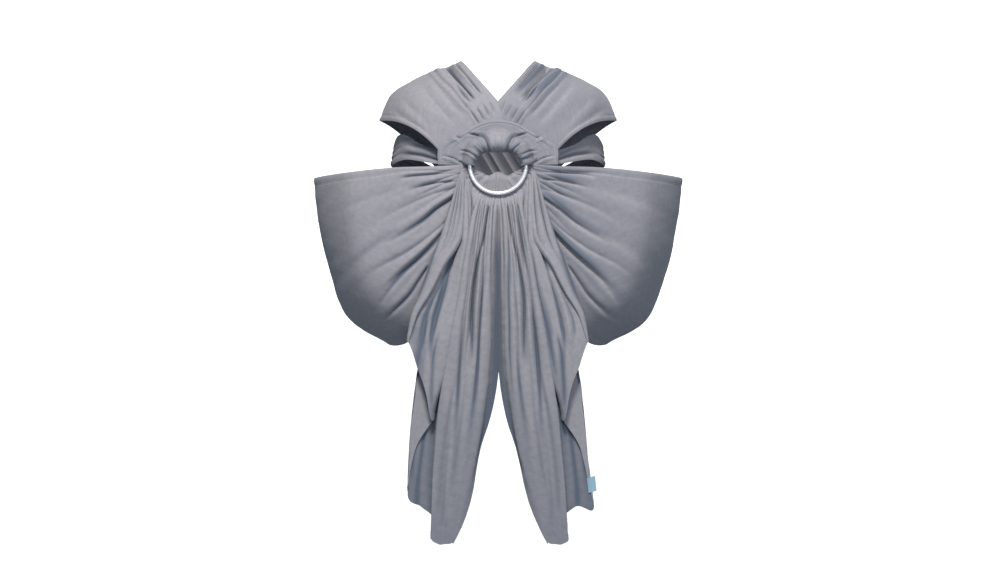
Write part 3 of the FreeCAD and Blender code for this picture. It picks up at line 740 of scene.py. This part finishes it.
def tail_grid(side, rows, columns):
    """The whole threaded cloth of one side: over the back ring, under the front ring, gathered, then hanging.
    Returns the grid and the column at which the hanging tail starts."""
    a = lane_rows(rows)
    head = wrap(side, a)
    lanes, lane_ends = [lane[0] for lane in TAIL_LANES], [lane[1] for lane in TAIL_LANES]
    lane_place = np.interp(a, lanes, np.linspace(0, 1, len(lanes)))
    ends = spline(lane_ends, lane_place)
    top_z = np.minimum(GATHER_TOP, head[:, -1, 2] - 6)
    hang = columns - HEAD_COLUMNS
    gathered = int(hang * 0.16)
    z = np.zeros((rows, columns))
    for i in range(rows):
        upper = np.linspace(top_z[i], GATHER_END, gathered, endpoint=False)
        lower = np.linspace(GATHER_END, ends[i], hang - gathered)
        z[i, HEAD_COLUMNS:] = np.concatenate([upper, lower])
    table = np.zeros((len(TAIL_LANES), rows, hang, 2))
    for k, (_, _, across, depth) in enumerate(TAIL_LANES):
        keys = np.column_stack([-np.array(STATIONS), across, depth])
        value = keyed(keys, -z[:, HEAD_COLUMNS:].ravel())
        table[k] = np.reshape(value, (rows, hang, 2))
    grid = np.zeros((rows, columns, 3))
    for i in range(rows):
        for axis in (0, 1):
            grid[i, HEAD_COLUMNS:, axis:axis + 1] = spline(table[:, i, :, axis], [lane_place[i]]).T
    grid[..., 2] = z
    join = HEAD_COLUMNS + 10  # column of the hanging cloth at which the wrap ends
    knots = np.concatenate([head, grid[:, join:join + 1]], axis=1)
    lengths = np.linalg.norm(np.diff(knots, axis=1), axis=2).mean(axis=0)
    spots = np.concatenate([[0], np.cumsum(lengths)]) / lengths.sum()
    fill = np.linspace(0, 1, join, endpoint=False)
    for i in range(rows):
        keys = np.column_stack([spots, knots[i]])
        grid[i, :join] = keyed(keys, fill)
    smoothed(grid[:, HEAD_COLUMNS - 8:join + 14])
    cut = HEAD_COLUMNS + gathered
    grid[:, cut, 2] = GATHER_END
    inner_edge = ramp(a, 0.955, 1.0)[:, None] * ramp(z, -192, -215)
    if side < 0:
        # the left edge passes behind the right one under the rings, and meets it further down
        tucked = ramp(z, -262, -236)
        grid[..., 0] -= (0.5 + 3.5 * tucked) * inner_edge
        grid[..., 1] += (2.6 + 3.9 * tucked) * inner_edge
    else:
        # the right tail's tip lies further out, and its second layer ends in a point
        grid[..., 0] += 1.4 * inner_edge
        grid[..., 0] += 7.0 * ramp(z, -540, -700) * ramp(a, 0.58, 0.66)[:, None]
        corner = np.exp(-(((a - 0.41) / 0.035) ** 2))[:, None] * ramp(z, -560, -640)
        grid[..., 0] += 9.0 * corner
        grid[..., 2] -= 16.0 * corner
    grid[..., 0] *= side
    return grid, cut


def tail(word, side):
    """One side's cloth through the rings and its hanging tail, folded in three layers: two objects cut from
    one grid."""
    rows, columns = 226, 318
    grid, cut = tail_grid(side, rows, columns)
    front_spot = (int(rows * 0.85), cut + 40)
    n = turned_normals(grid, front_spot, 1, -1)
    a = lane_rows(rows)[:, None] * np.ones((1, columns))
    x, z = np.abs(grid[..., 0]), grid[..., 2]
    d = np.zeros_like(x)
    station = np.arange(columns)[None, :] * np.ones((rows, 1))
    below = ramp(a, 1.0, 0.95) * ramp(station, HEAD_COLUMNS - 12, HEAD_COLUMNS + 8)
    uneven = 0.75 + 0.35 * wander(a * 100, 55 + side, 9)
    pleat_count = 14
    pleats_before = np.array([0, 3, 5, 6, 7, 13, 14]) / pleat_count
    gathers = np.interp(a, [0, 0.075, 0.25, 0.56, 0.62, 0.92, 1], pleats_before)
    fine = pleats(gathers + 0.005 * wander(z, 70, 30), pleat_count, 81 + side, 0.9) * uneven
    near = ramp(z, -350, -215) * (1 - ramp(a, 0.1, 0.085) * ramp(z, -240, -290))
    d += below * fine * (3.8 * near + 0.1)
    d += 0.8 * fine * ramp(station, 10, 16) * ramp(station, HEAD_COLUMNS - 8, HEAD_COLUMNS - 14)
    medium = pleats(a + 0.012 * wander(z, 71, 60), 7, 91 + side, 0.8)
    d += below * medium * (0.5 + 2.4 * ramp(z, -195, -250)) * ramp(z, -520, -360)
    # the layers: the long tip in front, the wing and the second layer between them
    main = ramp(a, 0.57, 0.63) * ramp(a, 0.94, 0.9)
    wing = ramp(a, 0.23, 0.18) * ramp(a, 0.07, 0.1)
    second = ramp(a, 0.36, 0.4) * ramp(a, 0.58, 0.55)
    folds = [
        # the layer that a fold lies in comes first
        (main, [(37, -196), (44, -250), (57, -310), (67, -351), (76, -403), (84, -458)],
         (2.6, 6), 5.4, 0.3, (0.02, 0.3)),
        (main, [(13, -198), (21, -246), (31, -290), (38, -340), (38, -414), (42, -470)],
         (2.6, 7), 6.4, 0.3, (0.02, 0.3)),
        (main, [(25, -196), (35, -260), (48, -345), (56, -430), (62, -520), (70, -600)],
         (2.6, 6), 5.0, -0.2, (0.02, 0.3)),
        (main, [(22, -300), (27, -370), (30, -440), (38, -510), (52, -590)], (4, 6), 3.6, 0.1, (0.2, 0.3)),
        (main, [(60, -440), (74, -520), (84, -600), (88, -670)], (5, 7), 3.2, 0.2, (0.25, 0.2)),
        (main, [(46, -420), (52, -500), (62, -570), (76, -660)], (5, 7), 3.0, -0.2, (0.25, 0.3)),
        (main, [(70, -520), (78, -600), (82, -680)], (5, 6), 2.4, -0.2, (0.25, 0.2)),
        (wing, [(56, -250), (72, -292), (86, -340), (97, -390), (101, -450)], (4, 7), 4.6, 0.2, (0.1, 0.3)),
        (wing, [(70, -285), (92, -330), (108, -372), (112, -420)], (4, 6), 3.4, -0.2, (0.1, 0.3)),
        (wing, [(84, -380), (94, -420), (98, -470), (97, -505)], (5, 6), 2.8, 0.1, (0.2, 0.2)),
        (second, [(119, -430), (121, -500), (125, -560), (128, -620)], (4, 6), 3.6, 0.2, (0.2, 0.2)),
        (second, [(104, -500), (112, -560), (118, -610), (120, -650)], (4, 6), 4.6, -0.2, (0.2, 0.1)),
    ]
    calm = 0.22 + 0.78 * ramp(z, -540, -380)  # folds are shallow in the lower part
    for mask, line, (start, stop), depth, lean, fade in folds:
        shift = 0.0 if side < 0 else 2.5 * math.sin(3 * depth + len(line))
        line = [(px + shift, pz) for px, pz in line]
        d += calm * mask * crease(x, z, line, (0.75 * start, 1.1 * stop), depth, lean, fade)
    # painted shade: fold valleys darker, and the valleys of the gathers under the rings darker still
    painted_shade = (d - 0.6) / 3.2 - 0.6 * ramp(fine, 0.2, -0.7) * near * below
    d += (0.5 * wander(x + 0.3 * z, 37 + side, 18) + rumples(x, z, 50 + side, 0.3)) * below
    down = np.cumsum(np.linalg.norm(np.diff(grid, axis=1, prepend=grid[:, :1]), axis=2), axis=1)
    from_end = down[:, -1:] - down
    across = np.cumsum(np.linalg.norm(np.diff(grid, axis=0, prepend=grid[:1]), axis=2), axis=0)
    hem = ramp(from_end, 9.5, 8.0) + ramp(across, 8.0, 6.5) * ramp(z, -200, -240)
    grid = grid + n * d[..., None]
    n = turned_normals(grid, front_spot, 1, -1)
    thickness = CLOTH + NARROW_HEM * np.clip(hem, 0, 1)
    # painted shadow: a dark line where the folded rail strip's inner edge lies over the wing, and fainter
    # shade on the wing beside it
    painted_hollow_shade = np.exp(-(((a - 0.088) / 0.012) ** 2)) + 0.35 * ramp(a, 0.08, 0.09) * ramp(a, 0.17, 0.12)
    painted_shade = painted_shade - 1.2 * painted_hollow_shade * ramp(z, -215, -250) * ramp(z, -410, -380)
    # painted shade on the layers that lie behind the wing, stronger higher up
    behind = ramp(a, 0.215, 0.24) * ramp(a, 0.61, 0.58) * ramp(z, -215, -260)
    painted_shade = painted_shade - 0.8 * behind * (0.35 + 0.65 * ramp(z, -560, -470))
    # painted shade: the recess in the middle darker, and the whole tail darker below the gathers as light
    # falls off
    painted_shade = painted_shade - 0.42 * ramp(a, 0.93, 0.96) * ramp(z, -230, -270) - 0.2 * ramp(z, -230, -300)

    def piece(name, cols):
        return cloth_object(name, grid[:, cols], thickness[:, cols], n[:, cols], folds=painted_shade[:, cols])

    upper = piece(f"threaded_cloth_{word}", slice(0, cut + 1))
    lower = piece(f"tail_cloth_{word}", slice(cut, columns))
    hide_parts(f"threaded_fold_{word}", f"tail_gather_{word}")
    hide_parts(f"tail_{word}")
    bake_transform(upper)
    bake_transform(lower)
    return upper, lower


# ------------------------------------------------------------------ rings and label


def ring(name, depth):
    """A closed round metal ring facing forward, at the given depth."""
    around, about = 160, 28  # steps round the ring and round its bar
    vertices, faces = [], []
    for i in range(around):
        t = 2 * math.pi * i / around
        for k in range(about):
            s = 2 * math.pi * k / about
            r = RING_MAJOR + RING_MINOR * math.cos(s)
            vertices.append((r * math.cos(t), depth + RING_MINOR * math.sin(s), RING_Z + r * math.sin(t)))
            a, b = i * about + k, i * about + (k + 1) % about
            c, d = ((i + 1) % around) * about + (k + 1) % about, ((i + 1) % around) * about + k
            faces.append((a, d, c, b))
    made = new_object(f"{name}_bar", np.array(vertices) * MM, faces)
    made.data.materials.append(MATERIALS["metal"])
    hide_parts(name)
    return made


def label():
    """The small blank label on the right tail's outer edge, tilted and slightly curled."""
    u, v = lattice(14, 26)
    turn = math.radians(16)
    corner_x, corner_z = 131.5, -602.0
    across, down = 12.0 * u, 23.0 * v
    x = corner_x + across * math.cos(turn) + down * math.sin(turn) * 0.4
    z = corner_z + across * math.sin(turn) - down * math.cos(turn)
    y = -138.5 - 2.6 * np.sin(math.pi * u * 0.9) * (1 - 0.5 * v) + 1.2 * v
    grid = np.stack([x, y, z], axis=-1)
    made = cloth_object("blank_label", grid, 0.9, material=MATERIALS["label"])
    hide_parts("care_label")
    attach(made, "right_tail")
    return made


# ------------------------------------------------------------------ build


yoke_cloth, sewn = yoke()
for word, side in SIDES.items():
    made, sewn = shoulder(word, side)
    made = underarm(word, side)
    made, sewn = pouch(word, side)
    upper, lower = tail(word, side)
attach(ring("front_ring", FRONT_RING_Y), "front_ring")
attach(ring("back_ring", BACK_RING_Y), "harness")
label()

# ------------------------------------------------------------------ backdrop, light and camera

CAMERA_DISTANCE = 7.0
CAMERA_X, CAMERA_Z = 0.003, -0.312
OBJECT_FRONT = -0.12  # depth of the object's front, from which the camera's distance counts
VIEW_WIDTH = 1.48  # metres across the picture at that depth
SENSOR = 36
WALL_Y = 8.5


def backdrop():
    """A plain wall far behind the object."""
    vertices = [(x, WALL_Y, z) for z in (-1.7, 1.1) for x in (-2.0, 2.0)]
    made = new_object("backdrop", vertices, [(0, 1, 3, 2)])
    made.data.materials.append(MATERIALS["wall"])


def studio():
    """The backdrop, the lamps round the object and on the wall, and the camera."""
    backdrop()
    world = bpy.data.worlds.new("studio")
    bpy.context.scene.world = world
    world.use_nodes = True
    sky = world.node_tree.nodes["Background"]
    sky.inputs["Color"].default_value = (0.76, 0.88, 1.0, 1)
    sky.inputs["Strength"].default_value = 0.31
    lamps = [
        # name, place, the point it faces, watts, size and colour
        ("key", (-0.16, -2.0, 1.95), (0, 0, -0.2), 90, 0.6, (1.0, 0.945, 0.885)),
        ("fill", (0.6, -3.1, 0.5), (0, 0, -0.25), 30, 1.2, (0.88, 0.94, 1.0)),
        ("back", (1.2, 2.6, 2.0), (0, 0, -0.3), 30, 2.0, (0.95, 0.97, 1.0)),
        ("wall", (-2.6, 6.6, 1.2), (0, WALL_Y, -0.35), 150, 1.6, (1.0, 1.0, 1.0)),
        ("wall_other", (2.6, 6.6, 1.2), (0, WALL_Y, -0.35), 150, 1.6, (1.0, 1.0, 1.0)),
    ]
    for name, place, target, power, size, colour in lamps:
        light = bpy.data.lights.new(name, "AREA")
        light.energy, light.size, light.color = power, size, colour
        lamp = bpy.data.objects.new(name, light)
        lamp.location = place
        aim = np.array(target) - np.array(place)
        yaw = math.atan2(aim[1], aim[0]) - math.pi / 2
        pitch = math.atan2(math.hypot(aim[0], aim[1]), -aim[2])
        lamp.rotation_euler = (pitch, 0, yaw)
        bpy.context.scene.collection.objects.link(lamp)
    camera = bpy.data.cameras.new("camera")
    camera.sensor_width = SENSOR
    camera.lens = SENSOR * CAMERA_DISTANCE / VIEW_WIDTH
    eye = bpy.data.objects.new("camera", camera)
    eye.location = (CAMERA_X, -CAMERA_DISTANCE + OBJECT_FRONT, CAMERA_Z)
    eye.rotation_euler = (math.pi / 2, 0, 0)
    bpy.context.scene.collection.objects.link(eye)
    bpy.context.scene.camera = eye
    bpy.context.scene.view_settings.view_transform = "Standard"


studio()
